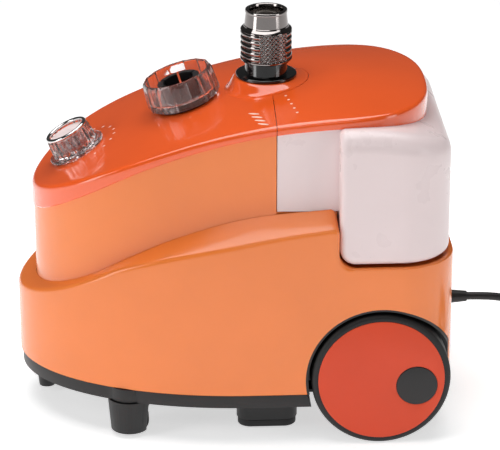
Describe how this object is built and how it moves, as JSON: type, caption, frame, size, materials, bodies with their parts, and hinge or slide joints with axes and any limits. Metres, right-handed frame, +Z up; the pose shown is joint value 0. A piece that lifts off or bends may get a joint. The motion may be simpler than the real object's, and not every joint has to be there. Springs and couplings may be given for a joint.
{
  "type": "garment steamer",
  "caption": "Canister garment steamer with a swept two-tone body, lift-off water tank, rear wheels, casters, control dial, pole clamp and a screwed steam outlet.",
  "frame": {"origin": "on the floor under the middle of the body, mains lead left out", "axes": "-X is the front with the control dial, +X the stern with tank, wheels and lead, +Z up; the body mirrors across the XZ plane"},
  "size_m": [0.6192, 0.244, 0.35],
  "materials": {
    "body_orange": "glossy",
    "deck_orange": "glossy",
    "base_black": "fine texture",
    "gloss_black": "glossy",
    "tank_white": "translucent, satin",
    "clear_plastic": "clear, polished",
    "dial_white": "satin print",
    "wheel_orange": "satin",
    "tyre_black": "matte",
    "seal_rubber": "matte",
    "silicone": "satin",
    "chrome": "mirror chrome",
    "steel": "plain",
    "aluminium": "cast",
    "inner_plastic": "satin",
    "cord_black": "satin"
  },
  "bodies": {
    "housing": {"axle": "steel", "axle_washers": "steel", "base_tray": "base_black", "boiler_lid": "aluminium", "boiler_pan": "aluminium", "case_screws": "steel", "cord_coil": "cord_black", "cord_gland": "cord_black", "cord_tail": "cord_black", "cord_tie": "base_black", "front_deck": "deck_orange", "heat_shield": "steel", "heating_element": "steel", "left_foot_pad": "seal_rubber", "left_wheel_arch": "base_black", "lower_shell": "body_orange", "outlet_collar": "gloss_black", "outlet_pipe": "steel", "outlet_seal": "seal_rubber", "plug_body": "cord_black", "plug_pins": "chrome", "pole_collet": "gloss_black", "pole_socket": "base_black", "power_cord": "cord_black", "right_foot_pad": "seal_rubber", "right_wheel_arch": "base_black", "rotary_switch": "base_black", "tank_seat": "body_orange", "terminal_block": "inner_plastic", "thermal_fuse": "inner_plastic", "thermostat": "steel", "upper_shell": "body_orange", "water_hose": "silicone"},
    "hose_nut": {"hose_nut": "chrome"},
    "pole_ring": {"pole_clamp_ring": "clear_plastic"},
    "dial": {"control_dial": "clear_plastic", "dial_face": "dial_white", "dial_bezel": "chrome", "dial_shaft": "steel"},
    "tank": {"water_tank": "tank_white", "tank_floor": "tank_white", "tank_cover": "deck_orange"},
    "tank_cap": {"tank_cap": "gloss_black", "cap_floor": "gloss_black", "cap_cage": "gloss_black", "valve_spring": "steel"},
    "valve": {"valve_stem": "inner_plastic", "valve_seal": "seal_rubber"},
    "left_wheel": {"left_tyre": "tyre_black", "left_wheel_disc": "wheel_orange", "left_wheel_inlay": "gloss_black"},
    "left_caster": {"left_caster_fork": "base_black", "left_caster_pin": "steel"},
    "left_caster_roller": {"left_caster_wheel": "gloss_black"},
    "right_wheel": {"right_tyre": "tyre_black", "right_wheel_disc": "wheel_orange", "right_wheel_inlay": "gloss_black"},
    "right_caster": {"right_caster_fork": "base_black", "right_caster_pin": "steel"},
    "right_caster_roller": {"right_caster_wheel": "gloss_black"}
  },
  "joints": [
    {"name": "tank_lift", "type": "slide", "parent": "housing", "child": "tank", "axis": [0, 0, 1], "range_m": [0, 0.15]},
    {"name": "tank_cap_turn", "type": "hinge", "parent": "tank", "child": "tank_cap", "pos_m": [0.125, 0, 0.15], "axis": [0, 0, 1], "range_deg": [-180, 0]},
    {"name": "valve_travel", "type": "slide", "parent": "tank_cap", "child": "valve", "axis": [0, 0, 1], "range_m": [0, 0.004], "stiffness_N_per_m": 100, "springref_m": -0.003, "deforming": ["valve_spring"]},
    {"name": "hose_nut_turn", "type": "hinge", "parent": "housing", "child": "hose_nut", "pos_m": [0.0305, 0, 0.33], "axis": [0, 0, 1], "continuous": true},
    {"name": "clamp_ring_turn", "type": "hinge", "parent": "housing", "child": "pole_ring", "pos_m": [-0.04101, 0, 0.27764], "axis": [-0.3007, 0, 0.9537], "range_deg": [0, 90]},
    {"name": "dial_turn", "type": "hinge", "parent": "housing", "child": "dial", "pos_m": [-0.131, 0, 0.22606], "axis": [-0.4695, 0, 0.8829], "range_deg": [-270, 0]},
    {"name": "left_wheel_spin", "type": "hinge", "parent": "housing", "child": "left_wheel", "pos_m": [0.1216, -0.108, 0.059], "axis": [0, 1, 0], "continuous": true},
    {"name": "left_caster_swivel", "type": "hinge", "parent": "housing", "child": "left_caster", "pos_m": [-0.091, -0.086, 0.034], "axis": [0, 0, 1], "continuous": true},
    {"name": "left_caster_roll", "type": "hinge", "parent": "left_caster", "child": "left_caster_roller", "pos_m": [-0.087, -0.086, 0.0125], "axis": [0, 1, 0], "continuous": true},
    {"name": "right_wheel_spin", "type": "hinge", "parent": "housing", "child": "right_wheel", "pos_m": [0.1216, 0.108, 0.059], "axis": [0, 1, 0], "continuous": true},
    {"name": "right_caster_swivel", "type": "hinge", "parent": "housing", "child": "right_caster", "pos_m": [-0.091, 0.086, 0.034], "axis": [0, 0, 1], "continuous": true},
    {"name": "right_caster_roll", "type": "hinge", "parent": "right_caster", "child": "right_caster_roller", "pos_m": [-0.087, 0.086, 0.0125], "axis": [0, 1, 0], "continuous": true}
  ]
}
